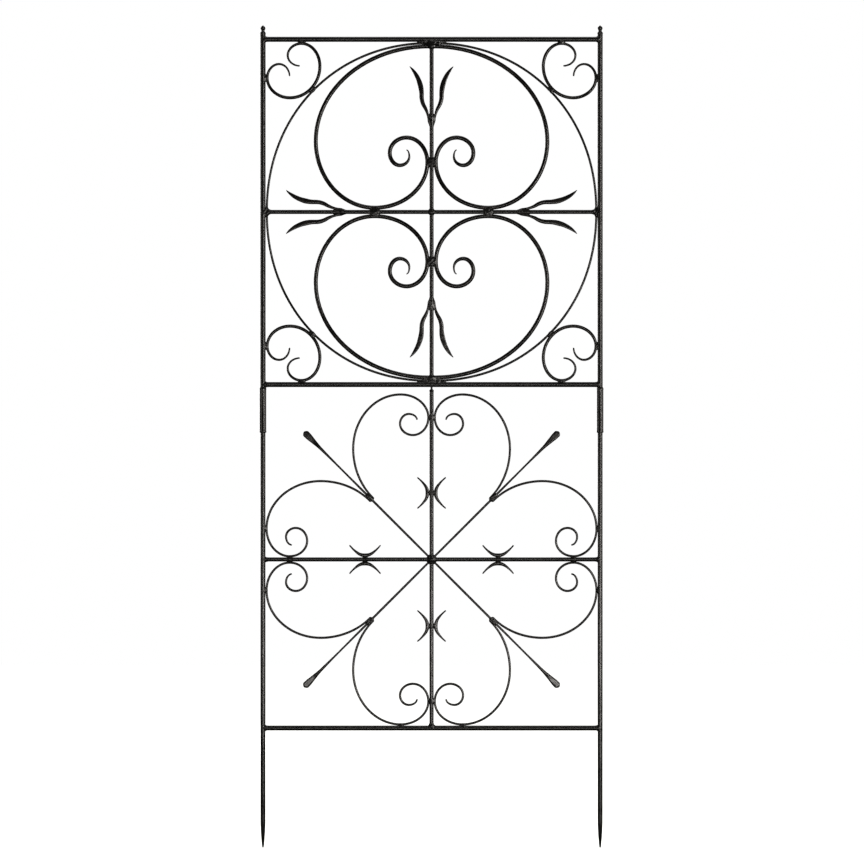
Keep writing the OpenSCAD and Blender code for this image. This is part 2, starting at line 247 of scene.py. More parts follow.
ray_way = unit([half_w, lower_half])
ray_reach = 0.757 * math.hypot(half_w, lower_half)
fork = 0.355 * math.hypot(half_w, lower_half)


def heart_path(span, reach, way):
    off = ray_d / 2 + heart_d / 2 + weld_gap
    start = fork * way + off * np.array([-way[1], way[0]])
    out = np.array([0.475 * span, 0.672 * reach])
    turn = math.radians(50)
    a, b = (out[0] - start[0]) / (1 - math.cos(turn)), (out[1] - start[1]) / math.sin(turn)
    t = -turn * (1 - np.arange(0, 24) / 24)
    lead = np.stack([out[0] - a + a * np.cos(t), out[1] + b * np.sin(t)], 1)
    touch = bar_r + heart_d / 2 + weld_gap
    return np.concatenate([lead, spiral([
        out, [heart_out * span, reach], [touch, heart_in * reach], [0.113 * span, 0.754 * reach],
        [0.191 * span, 0.823 * reach], [0.138 * span, 0.882 * reach], [0.088 * span, 0.846 * reach]], False)])


heart_rx = half_w - post_r - heart_d / 2 - weld_gap
heart_rz = lower_half - rail_r - heart_d / 2 - weld_gap
leaf_at = 203 * MM
crescent_at = 148 * MM
leaf_root = 4.5 * MM


def leaf_path():
    """A leaf that grows up from z = 0 on the right of an upright bar. Its drawn-out root
    runs on down from there into the bar, under the weld."""
    start = np.array([bar_r + leaf_root / 2 + weld_gap, 0])
    foot = np.array([bar_r - 0.4 * MM, -12 * MM])
    t = np.linspace(0, 0.9, 9)[:, None]
    root = foot + (start - foot) * np.concatenate([t * t * (3 - 2 * t), t], 1)
    blade = arcs(start, math.radians(90), [[60 * MM, -31], [46 * MM, 32], [90 * MM, -46]])
    return np.concatenate([root, blade])


crescent_w = 8.5 * MM


def crescent_path():
    """A crescent on the right of an upright bar: a round back and two straighter horns."""
    back, horn, flat, tip = 28 * MM, 90 * MM, math.radians(36), math.radians(52)
    x = (bar_r + weld_gap + crescent_w / 2 + back * (1 - math.cos(flat))
         + horn * (math.cos(flat) - math.cos(tip)))
    z = -back * math.sin(flat) - horn * (math.sin(tip) - math.sin(flat))
    return arcs([x, z], math.radians(90) + tip, [[horn, -16], [back, -72], [horn, -16]], 24)


# ---------- Colours and materials ----------

def colour(code):
    """An sRGB hex value as linear RGBA."""
    parts = [int(code[i:i + 2], 16) / 255 for i in (1, 3, 5)]
    return [c / 12.92 if c <= 0.04045 else ((c + 0.055) / 1.055) ** 2.4 for c in parts] + [1]


def add(tree, kind, inputs=None, **settings):
    """Add a node. A socket given as an input is linked, and anything else is set on it."""
    made = tree.nodes.new(kind)
    for name, value in settings.items():
        setattr(made, name, value)
    for key, value in (inputs or {}).items():
        socket = made.inputs[key]
        if isinstance(value, bpy.types.NodeSocket):
            tree.links.new(value, socket)
        else:
            socket.default_value = value
    return made


def empty_material(name):
    made = bpy.data.materials.new(name)
    made.use_nodes = True
    made.node_tree.nodes.clear()
    return made, made.node_tree


# A colour mix keeps its two colours and its result at these places
MIX_A, MIX_B, MIX_RESULT = 6, 7, 2


def black_powder_coat(name, base, worn, roughness, dent, dent_mm, dent_size):
    """Satin black polyester powder coat on hot-worked steel.

    The coat is a smooth plastic film, so it has a dielectric's reflection (IOR 1.5) and no
    metal colour. It gathers in a faint orange peel and follows the dents that rolling or
    hammering left in the steel under it.
    """
    made, tree = empty_material(name)
    place = add(tree, "ShaderNodeTexCoord").outputs["Object"]
    cloud = add(tree, "ShaderNodeTexNoise", {"Vector": place, "Scale": 38, "Detail": 1, "Roughness": 0.6})
    peel = add(tree, "ShaderNodeTexNoise", {
        "Vector": place, "Scale": 1 / (2.2 * MM), "Detail": 2, "Roughness": 0.5})
    dents = add(tree, "ShaderNodeTexVoronoi", {"Vector": place, "Scale": 1 / dent_size, "Smoothness": 0.9},
                feature="SMOOTH_F1")
    dust = add(tree, "ShaderNodeMapRange", {
        "Value": cloud.outputs["Fac"], "From Min": 0.38, "From Max": 0.68})
    mix = add(tree, "ShaderNodeMix", {
        "Factor": dust.outputs["Result"], MIX_A: colour(base), MIX_B: colour(worn)}, data_type="RGBA")
    gloss = add(tree, "ShaderNodeMapRange", {
        "Value": cloud.outputs["Fac"], "From Min": 0.3, "From Max": 0.7,
        "To Min": roughness - 0.05, "To Max": roughness + 0.07})
    deep = add(tree, "ShaderNodeBump", {
        "Strength": dent, "Distance": dent_mm * MM, "Height": dents.outputs["Distance"]})
    fine = add(tree, "ShaderNodeBump", {
        "Strength": 0.05, "Distance": 0.03 * MM, "Height": peel.outputs["Fac"],
        "Normal": deep.outputs["Normal"]})
    shell = add(tree, "ShaderNodeBsdfPrincipled", {
        "Base Color": mix.outputs[MIX_RESULT], "Roughness": gloss.outputs["Result"],
        "Normal": fine.outputs["Normal"], "IOR": 1.5, "Metallic": 0.0})
    add(tree, "ShaderNodeOutputMaterial", {"Surface": shell.outputs["BSDF"]})
    return made


# Drawn and rolled bar: nearly smooth, with long shallow waves from the rolls
coated_bar = black_powder_coat("powder_coated_rolled_bar", "#0a0a09", "#151412", 0.2, 0.1, 0.2, 24 * MM)
# Bent and tapered over an anvil: shallow flats left by the hammer
coated_forging = black_powder_coat(
    "powder_coated_hammered_rod", "#0a0908", "#161411", 0.22, 0.25, 0.3, 11 * MM)
# Weld metal under the coat: a little duller, because the coat is thin and rough over it
coated_weld = black_powder_coat("powder_coated_weld_metal", "#090908", "#151311", 0.3, 0.6, 0.3, 4 * MM)


# ---------- Geometry Nodes: a rod forged along a path ----------

def forged_rod_tree():
    """Sweeps a round section along a chain of points and presses it to its thickness.

    Each point carries width (in the panel), thick (through it) and dish, which hollows
    the two flat faces of a pressed head.
    """
    tree = bpy.data.node_groups.new("forged_rod", "GeometryNodeTree")
    face = tree.interface
    face.new_socket("Path", in_out="INPUT", socket_type="NodeSocketGeometry")
    for name, kind, value in (
            ("Section points", "NodeSocketInt", 24),
            ("Hammer depth", "NodeSocketFloat", 0.0),
            ("Hammer spacing", "NodeSocketFloat", 9 * MM)):
        face.new_socket(name, in_out="INPUT", socket_type=kind).default_value = value
    face.new_socket("Paint", in_out="INPUT", socket_type="NodeSocketMaterial")
    face.new_socket("Rod", in_out="OUTPUT", socket_type="NodeSocketGeometry")
    given = add(tree, "NodeGroupInput").outputs

    def stored(name):
        return add(tree, "GeometryNodeInputNamedAttribute", {"Name": name},
                   data_type="FLOAT").outputs["Attribute"]

    def sum_of(kind, a, b):
        return add(tree, "ShaderNodeMath", {0: a, 1: b}, operation=kind).outputs["Value"]

    line = add(tree, "GeometryNodeMeshToCurve", {"Mesh": given["Path"]})
    section = add(tree, "GeometryNodeCurvePrimitiveCircle", {
        "Resolution": given["Section points"], "Radius": 1.0})
    half = sum_of("MULTIPLY", stored("width"), 0.5)
    swept = add(tree, "GeometryNodeCurveToMesh", {
        "Curve": line.outputs["Curve"], "Profile Curve": section.outputs["Curve"], "Scale": half,
        "Fill Caps": True})
    place = add(tree, "ShaderNodeSeparateXYZ", {
        "Vector": add(tree, "GeometryNodeInputPosition").outputs["Position"]})
    rise = sum_of("DIVIDE", place.outputs["Y"], half)
    hollow = sum_of("SUBTRACT", 1.0, sum_of("MULTIPLY", stored("dish"), sum_of("MULTIPLY", rise, rise)))
    pressed = sum_of("MULTIPLY", sum_of("MULTIPLY", rise, hollow), sum_of("MULTIPLY", stored("thick"), 0.5))
    moved = add(tree, "ShaderNodeCombineXYZ", {
        "X": place.outputs["X"], "Y": pressed, "Z": place.outputs["Z"]})
    flat = add(tree, "GeometryNodeSetPosition", {
        "Geometry": swept.outputs["Mesh"], "Position": moved.outputs["Vector"]})
    blows = add(tree, "ShaderNodeTexNoise", {
        "Scale": sum_of("DIVIDE", 1.0, given["Hammer spacing"]), "Detail": 1.0})
    depth = sum_of("MULTIPLY", sum_of("SUBTRACT", blows.outputs["Fac"], 0.5), given["Hammer depth"])
    push = add(tree, "ShaderNodeVectorMath", {
        "Vector": add(tree, "GeometryNodeInputNormal").outputs["Normal"], "Scale": depth}, operation="SCALE")
    dented = add(tree, "GeometryNodeSetPosition", {
        "Geometry": flat.outputs["Geometry"], "Offset": push.outputs["Vector"]})
    soft = add(tree, "GeometryNodeSetShadeSmooth", {"Geometry": dented.outputs["Geometry"]})
    real = add(tree, "GeometryNodeRealizeInstances", {"Geometry": soft.outputs["Geometry"]})
    painted = add(tree, "GeometryNodeSetMaterial", {
        "Geometry": real.outputs["Geometry"], "Material": given["Paint"]})
    add(tree, "NodeGroupOutput", {"Rod": painted.outputs["Geometry"]})
    return tree


def grown(name, tree, start, **inputs):
    """Run a tree on a start mesh and keep the result as a plain mesh object."""
    piece = bpy.data.objects.new(name, start)
    bpy.context.scene.collection.objects.link(piece)
    grow = piece.modifiers.new("grow", "NODES")
    grow.node_group = tree
    for item in tree.interface.items_tree:
        if item.name in inputs:
            grow[item.identifier] = inputs[item.name]
    graph = bpy.context.evaluated_depsgraph_get()
    result = bpy.data.meshes.new_from_object(piece.evaluated_get(graph), depsgraph=graph)
    piece.modifiers.clear()
    piece.data = result
    result.name = name
    turn_outwards(result)
    return piece


def turn_outwards(mesh):
    """Close the seams of a closed shape, and point its faces outwards."""
    work = bmesh.new()
    work.from_mesh(mesh)
    bmesh.ops.remove_doubles(work, verts=work.verts, dist=1e-6)
    bmesh.ops.recalc_face_normals(work, faces=work.faces)
    if work.calc_volume(signed=True) < 0:
        bmesh.ops.reverse_faces(work, faces=work.faces)
    work.to_mesh(mesh)
    work.free()


forged_rod = forged_rod_tree()


def kept_as(piece, body, node):
    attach(piece, body)
    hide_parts(node)


def forge(name, body, node, points, sizes, paint, section, hammer=0.0, spacing=9 * MM, closed=False):
    """A rod along points, with width, thickness and dish at each of them."""
    start = bpy.data.meshes.new(name + "_path")
    count = len(points)
    links = [(i, (i + 1) % count) for i in range(count if closed else count - 1)]
    start.from_pydata([(x, 0, z) for x, z in points], links, [])
    for k, what in enumerate(("width", "thick", "dish")):
        start.attributes.new(what, "FLOAT", "POINT").data.foreach_set("value", sizes[:, k].astype(np.float32))
    inputs = {"Section points": section, "Hammer depth": hammer, "Hammer spacing": spacing, "Paint": paint}
    kept_as(grown(name, forged_rod, start, **inputs), body, node)


def smooth_piece(name, verts, faces, paint, body, node):
    """A closed, smooth-shaded mesh, kept as the look of one CAD node."""
    mesh = bpy.data.meshes.new(name)
    mesh.from_pydata(verts, [], faces)
    turn_outwards(mesh)
    mesh.polygons.foreach_set("use_smooth", [True] * len(mesh.polygons))
    mesh.materials.append(paint)
    piece = bpy.data.objects.new(name, mesh)
    bpy.context.scene.collection.objects.link(piece)
    kept_as(piece, body, node)


# ---------- Rods remembered for the welds: [x, z] points and a radius at each ----------

rods = {UPPER: [], LOWER: []}


def remember(body, points, radius):
    points = np.asarray(points, float)
    rods[body].append((points, np.broadcast_to(np.asarray(radius, float), len(points)).copy()))


def round_sizes(points, keys, thick_keys=None, dish_keys=None):
    s = run_of(points)
    width = profile(s, keys)
    thick = profile(s, thick_keys) if thick_keys else width
    dish = profile(s, dish_keys) if dish_keys else np.zeros(len(s))
    return np.stack([width, thick, dish], 1)


def each_quarter():
    return product(LEVELS, SIDES)


# ---------- Upper panel ----------

ring_line = np.array([ring_point(a) for a in np.radians(np.arange(0, 360, 1.5))]) + [0, mid_z]
ring_sizes = np.tile([ring_d, ring_d, 0], (len(ring_line), 1))
forge("bent_ring", UPPER, "ring", ring_line, ring_sizes, coated_bar, 20, closed=True)
remember(UPPER, np.concatenate([ring_line, ring_line[:1]]), ring_d / 2)

big_path = evenly(big_scroll_path(), 2.5 * MM)
big_run = run_of(big_path)[-1]
big_sizes = round_sizes(big_path, [
    [0, scroll_d], [1 - 72 * MM / big_run, scroll_d], [1 - 46 * MM / big_run, 0.88 * scroll_d],
    [1 - 18 * MM / big_run, 0.5 * scroll_d], [1, 0.24 * scroll_d]])
big_round = rounded(big_path, big_sizes, False, True)
corner_path = evenly(corner_scroll_path(), 1.8 * MM)
corner_sizes = round_sizes(corner_path, [
    [0, 0.5 * corner_d], [0.13, 0.76 * corner_d], [0.33, corner_d], [0.67, corner_d],
    [0.87, 0.76 * corner_d], [1, 0.5 * corner_d]])
corner_round = rounded(corner_path, corner_sizes, True, True)
leaf_w = 11.4 * MM
leaf_line = evenly(leaf_path(), 1.5 * MM)
leaf_sizes = round_sizes(
    leaf_line,
    [[0, 2.2 * MM], [0.09, 3.6 * MM], [0.16, 4.8 * MM], [0.31, 8 * MM], [0.42, 9.2 * MM], [0.54, 10 * MM],
     [0.65, leaf_w], [0.74, 10.2 * MM], [0.85, 8.2 * MM], [0.94, 4.6 * MM], [1, 1.2 * MM]],
    [[0, 2.2 * MM], [0.12, 4 * MM], [0.4, 6 * MM], [0.74, 4.8 * MM], [0.91, 2.8 * MM], [1, 1 * MM]],
    [[0, 0], [0.36, 0], [0.63, 0.3], [0.86, 0.35], [1, 0]])
leaf_round = rounded(leaf_line, leaf_sizes, True, True)
# The part of a leaf that its weld can reach
root_points = 30

for v, s in each_quarter():
    where = f"{v}_{s}"
    forge(f"forged_big_scroll_{where}", UPPER, f"big_scroll_{where}",
          placed(big_round[0], v, s, mid_z), big_round[1], coated_forging, 28, 0.35 * MM, 16 * MM)
    remember(UPPER, placed(big_path, v, s, mid_z), big_sizes[:, 0] / 2)
    forge(f"forged_corner_scroll_{where}", UPPER, f"corner_scroll_{where}",
          placed(corner_round[0], v, s, mid_z), corner_round[1], coated_forging, 20, 0.25 * MM, 12 * MM)
    remember(UPPER, placed(corner_path, v, s, mid_z), corner_sizes[:, 0] / 2)
    leaf, root = leaf_round[0] + [0, leaf_at], leaf_line[:root_points] + [0, leaf_at]
    for line, low, node in ((leaf, root, f"leaf_{where}"), (leaf[:, ::-1], root[:, ::-1], f"leaf_{s}_{v}")):
        forge("forged_" + node, UPPER, node, placed(line, v, s, mid_z), leaf_round[1],
              coated_forging, 28, 0.5 * MM, 8 * MM)
        remember(UPPER, placed(low, v, s, mid_z), leaf_sizes[:root_points, 0] / 2)

# ---------- Lower panel ----------

upright_heart = evenly(heart_path(heart_rx, heart_rz, ray_way), 1.8 * MM)
level_heart = evenly(heart_path(heart_rz, heart_rx, ray_way[::-1])[:, ::-1], 1.8 * MM)
# The drawn hearts and rays are a little wider than their CAD rods
drawn_d = 5 * MM
heart_keys = [[0, heart_d], [0.1, drawn_d], [0.93, drawn_d], [1, 3.6 * MM]]
crescent_line = evenly(crescent_path(), 1.2 * MM)
crescent_sizes = round_sizes(
    crescent_line,
    [[0, 2.8 * MM], [0.14, 3.8 * MM], [0.34, 6.4 * MM], [0.5, crescent_w], [0.66, 6.4 * MM],
     [0.86, 3.8 * MM], [1, 2.8 * MM]],
    [[0, 2.8 * MM], [0.25, 4.2 * MM], [0.5, 5 * MM], [0.75, 4.2 * MM], [1, 2.8 * MM]])
crescent_round = rounded(crescent_line, crescent_sizes, True, True)
ray_start = 1.5 * MM + math.sqrt(2) * (bar_r + ray_d / 2)
ray_line = np.linspace(ray_start, ray_reach, 170)[:, None] * ray_way
# A point well along the plain round part; the welds need only the stretch up to it
neck_point = 110
head_length, head_round = 68 * MM, 6 * MM
head = head_length / (ray_reach - ray_start)
ray_sizes = round_sizes(
    ray_line,
    [[0, ray_d], [0.2, drawn_d], [0.48, drawn_d], [1 - 1.02 * head, 5.4 * MM], [1 - 0.7 * head, 7 * MM],
     [1 - 0.4 * head, 11.4 * MM], [1 - 0.17 * head, 14.8 * MM], [1 - 0.06 * head, 14 * MM], [1, 9.6 * MM]],
    [[0, ray_d], [0.48, ray_d], [1 - head, 5.2 * MM], [1 - 0.3 * head, 6 * MM], [1, 5 * MM]],
    [[0, 0], [1 - 0.7 * head, 0], [1 - 0.4 * head, 0.42], [1 - 0.1 * head, 0.42], [1, 0.3]])


def paddle_end(points, sizes):
    """Round the wide end of a pressed head: a half ellipse in the panel, a soft edge through it."""
    s = run_of(points)
    near = np.clip((s - (s[-1] - head_round)) / head_round, 0, 1)
    drop = np.sqrt(np.clip(1 - near ** 2, 0, 1))
    sizes = sizes.copy()
    sizes[:, 0] = np.maximum(sizes[:, 0] * drop, 0.2 * MM)
    sizes[:, 1] = np.maximum(sizes[:, 1] * drop ** 0.6, 0.2 * MM)
    return points, sizes


from_hub = np.linalg.norm(ray_line, axis=1)
tail = ray_line[-1] - np.outer(head_round * (1 - np.sin(np.radians(np.linspace(2, 90, 16)))), ray_way)
ray_points = np.concatenate([ray_line[from_hub < ray_reach - head_round - 0.3 * MM], tail])
ray_table = np.stack([
    np.interp(np.linalg.norm(ray_points, axis=1), from_hub, ray_sizes[:, k]) for k in range(3)], 1)
ray_round = paddle_end(ray_points, ray_table)

for v, s in each_quarter():
    where = f"{v}_{s}"
    for line, node in ((upright_heart, f"heart_scroll_{where}"), (level_heart, f"heart_scroll_{s}_{v}")):
        sizes = round_sizes(line, heart_keys)
        points, round_end = rounded(line, sizes, False, True)
        forge("forged_" + node, LOWER, node, placed(points, v, s, hub_z), round_end, coated_forging, 18,
              0.2 * MM, 12 * MM)
        remember(LOWER, placed(line, v, s, hub_z), sizes[:, 0] / 2)
    forge(f"forged_ray_{where}", LOWER, f"ray_{where}", placed(ray_round[0], v, s, hub_z), ray_round[1],
          coated_forging, 28, 0.3 * MM, 10 * MM)
    remember(LOWER, placed(ray_line[[0, neck_point]], v, s, hub_z), ray_d / 2)
    up = crescent_round[0] + [0, crescent_at]
    for line, node in ((up, f"crescent_{where}"), (up[:, ::-1], f"crescent_{s}_{v}")):
        forge("forged_" + node, LOWER, node, placed(line, v, s, hub_z), crescent_round[1], coated_forging, 24,
              0.35 * MM, 9 * MM)
    plain = crescent_line[::4] + [0, crescent_at]
    for line in (plain, plain[:, ::-1]):
        remember(LOWER, placed(line, v, s, hub_z), crescent_sizes[::4, 1] / 2)


# ---------- Turned and drawn pieces: a profile spun round an upright axis ----------

def spun(name, body, node, x, outline, paint, closed=False, turns=64):
    """outline is [radius, z] points from the bottom up, starting and ending on the axis,
    or a closed loop of them for a tube."""
    count = len(outline)
    spokes = [(math.cos(a), math.sin(a)) for a in (2 * math.pi * i / turns for i in range(turns))]
    verts = [(x + r * c, r * s, z) for c, s in spokes for r, z in outline]
    rows = count if closed else count - 1
    faces = []
    for i, j in product(range(turns), range(rows)):
        a, b, n = i * count, ((i + 1) % turns) * count, (j + 1) % count
        faces.append((a + j, b + j, b + n, a + n))
    smooth_piece(name, verts, faces, paint, body, node)


def soft_line(keys, count):
    """A smooth outline through [radius, z] keys."""
    keys = np.array(keys, float)
    s = run_of(keys)
    at = np.linspace(0, s[-1], count)
    return np.stack([profile(at, np.stack([s / s[-1], keys[:, k]], 1)) for k in (0, 1)], 1).tolist()


for s, sign in SIDES.items():
    x = sign * half_w
    # Finial: a cap on the stile, a pinched neck and a pointed bud
    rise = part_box("right_finial")[1].z - stile_top
    spigot = [[0, -5 * MM], [2.9 * MM, -5 * MM], [2.9 * MM, 0]]
    cap = [[stile_r + 0.2 * MM, 0], [stile_r + 0.5 * MM, 0.5 * MM], [stile_r + 0.5 * MM, 2.2 * MM]]
    bud = soft_line([
        [stile_r + 0.1 * MM, 2.9 * MM], [4.1 * MM, 4.8 * MM], [3.5 * MM, 6.8 * MM], [4.3 * MM, 9.2 * MM],
        [5.4 * MM, 12.4 * MM], [4.9 * MM, 14.6 * MM], [2.6 * MM, 17 * MM], [1.1 * MM, 18.4 * MM]], 40)
    point = [[0.7 * MM, rise - 0.15 * MM], [0, rise]]
    outline = [[r, z + stile_top] for r, z in spigot + cap + bud + point]
    spun(f"turned_finial_{s}", UPPER, f"{s}_finial", x, outline, coated_bar)
    # Sleeve: a tube with a rolled lip at its foot and weld metal over its shoulder
    low, high = sleeve_low.z, sleeve_high.z
    bore = stile_r + 0.1 * MM
    outline = [
        [bore + 0.5 * MM, low], [sleeve_r - 0.9 * MM, low], [sleeve_r - 0.2 * MM, low + 0.5 * MM],
        [sleeve_r, low + 1.4 * MM], [sleeve_r, low + 3.2 * MM], [sleeve_r - 0.35 * MM, low + 4.6 * MM],
        [sleeve_r - 0.35 * MM, high - 6 * MM], [sleeve_r - 0.1 * MM, high - 4 * MM],
        [sleeve_r, high - 2.4 * MM], [sleeve_r - 0.5 * MM, high - 0.7 * MM],
        [sleeve_r - 1.1 * MM, high + 0.3 * MM], [stile_r + 0.5 * MM, high + 1 * MM],
        [stile_r + 0.05 * MM, high + 1.4 * MM], [bore, high - 0.5 * MM], [bore, low + 0.6 * MM]]
    spun(f"drawn_sleeve_{s}", UPPER, f"{s}_sleeve", x, outline, coated_bar, closed=True)
    # Post: round bar with its foot drawn out to a point, and a bevelled top
    tip = [[0, 0], [1.1 * MM, 0.3 * MM]]
    taper = soft_line([[1.7 * MM, 1.3 * MM], [2.8 * MM, 12 * MM], [3.9 * MM, 26 * MM],
                       [4.8 * MM, 42 * MM], [5.3 * MM, 54 * MM], [post_r, 64 * MM]], 40)
    shank = [[post_r, z] for z in np.linspace(80 * MM, joint_z - 1.2 * MM, 24)]
    bevel = [[post_r - 0.8 * MM, joint_z - 0.1 * MM], [post_r - 1.2 * MM, joint_z], [0, joint_z]]
    outline = tip + taper + shank + bevel
    spun(f"drawn_post_{s}", LOWER, f"{s}_post", x, outline, coated_bar)
    # Their straight lengths, for the welds
    remember(UPPER, [[x, joint_z], [x, stile_top]], stile_r)
    remember(LOWER, [[x, 0.1], [x, joint_z - 0.02]], post_r)

inner = half_w - stile_r
for z in (top_z, seam_z):
    remember(UPPER, [[-inner, z], [inner, z]], rail_r)
for s in (-1, 1):
    remember(UPPER, [[s * bar_r, mid_z], [s * (ring_rx - ring_d / 2 - 5 * MM), mid_z]], bar_r)
    remember(LOWER, [[s * bar_r, hub_z], [s * (half_w - post_r), hub_z]], bar_r)
remember(UPPER, [[0, mid_z - ring_rz + 7 * MM], [0, mid_z + ring_rz - 7 * MM]], bar_r)
inner = half_w - post_r
remember(LOWER, [[-inner, bottom_z], [inner, bottom_z]], rail_r)
remember(LOWER, [[0, bottom_z + rail_r], [0, seam_z - 20 * MM]], bar_r)


# ---------- Weld metal ----------

def lumps(p, seed, size):
    """Smooth unevenness between about -1 and 1, from a few seeded waves."""
    rng = np.random.default_rng(seed)
    total = 0
    for k in range(7):
        way = rng.normal(size=3)
        way *= 2 * math.pi / (size * rng.uniform(0.7, 1.6) * np.linalg.norm(way))
        total = total + np.sin(p @ way + rng.uniform(0, 6.3))
    return total / 3.2


def rod_distance(p, points, radius):
    """Least distance from each place in p to the surface of one rod."""
    best = np.full(len(p), 1.0)
    for a, b, ra, rb in zip(points[:-1], points[1:], radius[:-1], radius[1:]):
        a3, b3 = np.array([a[0], 0, a[1]]), np.array([b[0], 0, b[1]])
        along = b3 - a3
        length = float(along @ along)
        if length == 0:
            continue
        t = np.clip((p - a3) @ along / length, 0, 1)
        gap = np.linalg.norm(p - a3 - t[:, None] * along, axis=1) - (ra + (rb - ra) * t)
        best = np.minimum(best, gap)
    return best


def near_parts(body, centre, reach):
    """The stretches of each rod that pass within reach of a weld."""
    for points, radius in rods[body]:
        a, b = points[:-1], points[1:]
        along = b - a
        t = np.clip(((centre - a) * along).sum(1) / np.maximum((along ** 2).sum(1), 1e-12), 0, 1)
        close = np.linalg.norm(a + t[:, None] * along - centre, axis=1) < reach
        if close.any():
            first, last = np.argmax(close), len(close) - np.argmax(close[::-1])
            yield points[first:last + 1], radius[first:last + 1]


def net(field, origin, step):
    """A closed skin round the places where field is below zero: one point in each cell that
    the skin crosses, and one face across each grid edge that it crosses."""
    inside = field < 0
    cells = tuple(n - 1 for n in field.shape)
    total, count = np.zeros(cells + (3,)), np.zeros(cells)
    crossings = []
    for axis in range(3):
        front = [slice(None)] * 3
        back = [slice(None)] * 3
        front[axis], back[axis] = slice(0, -1), slice(1, None)
        a, b = field[tuple(front)], field[tuple(back)]
        hit = np.argwhere((a < 0) != (b < 0))
        va, vb = a[tuple(hit.T)], b[tuple(hit.T)]
        where = hit.astype(float)
        where[:, axis] += va / (va - vb)
        crossings.append((axis, hit, va < 0))
        others = [k for k in range(3) if k != axis]
        for i, j in product((0, 1), repeat=2):
            cell = hit.copy()
            cell[:, others[0]] -= i
            cell[:, others[1]] -= j
            ok = ((cell >= 0) & (cell < cells)).all(1)
            np.add.at(total, tuple(cell[ok].T), where[ok])
            np.add.at(count, tuple(cell[ok].T), 1)
    used = count > 0
    index = np.full(cells, -1)
    index[used] = np.arange(used.sum())
    verts = np.asarray(origin) + step * total[used] / count[used][:, None]
    faces = []
    for axis, hit, out in crossings:
        u, v = (axis + 1) % 3, (axis + 2) % 3
        quad = []
        for i, j in ((0, 0), (1, 0), (1, 1), (0, 1)):
            cell = hit.copy()
            cell[:, u] -= i
            cell[:, v] -= j
            quad.append(cell)
        ok = np.all([((c >= 0) & (c < cells)).all(1) for c in quad], 0)
        ids = np.stack([index[tuple(c[ok].T)] for c in quad], 1)
        turn = out[ok]
        ids[turn] = ids[turn][:, ::-1]
        faces.append(ids)
    return verts, np.concatenate(faces)


def weld(body, x, z, reach, proud=0.7 * MM, blend=7 * MM, way=(1, 0), seed=0, step=1.05 * MM):
    """One weld: metal that fills the corners between the rods near (x, z), stands a little
    proud of them, and dies away into them at the given reach along way and across it."""
    rx, rz = reach
    ry = min(rx, rz, 11 * MM)
    cos, sin = way
    span = np.array([abs(cos) * rx + abs(sin) * rz, ry, abs(sin) * rx + abs(cos) * rz]) * 1.4 + 2 * step
    count = np.maximum((2 * span / step).astype(int) + 1, 4)
    origin = np.array([x, 0, z]) - span
    axes = [origin[k] + step * np.arange(count[k]) for k in range(3)]
    grid = np.stack(np.meshgrid(*axes, indexing="ij"), -1)
    p = grid.reshape(-1, 3)
    shape = None
    for points, radius in near_parts(body, np.array([x, z]), 1.5 * max(rx, rz) + 6 * MM):
        gap = rod_distance(p, points, radius)
        if shape is None:
            shape = gap
        else:
            h = np.clip(0.5 + 0.5 * (gap - shape) / blend, 0, 1)
            shape = gap + (shape - gap) * h - blend * h * (1 - h)
    dx, dy, dz = (p - [x, 0, z]).T
    q = np.sqrt(((cos * dx + sin * dz) / rx) ** 2 + (dy / ry) ** 2 + ((cos * dz - sin * dx) / rz) ** 2)
    more = proud * (1 - q ** 2) - 11 * MM * np.maximum(q - 0.8, 0) ** 2
    rough = 0.5 * MM * lumps(p, seed, 7 * MM) + 0.18 * MM * lumps(p, seed + 1, 3 * MM)
    field = (shape - more - rough * np.clip(1.25 - q, 0, 1)).reshape(grid.shape[:3])
    for k in range(3):
        edge = [slice(None)] * 3
        for end in (0, -1):
            edge[k] = end
            field[tuple(edge)] = np.maximum(field[tuple(edge)], step)
    return net(field, origin, step)


def weld_piece(name, body, node, seams):
    verts, faces, base = [], [], 0
    for seed, (x, z, reach, habit) in enumerate(seams):
        v, f = weld(body, x, z, reach, seed=3 * seed + 11, **habit)
        verts.append(v)
        faces.append(f + base)
        base += len(v)
    smooth_piece(name, np.concatenate(verts).tolist(), np.concatenate(faces).tolist(), coated_weld,
                 body, node)


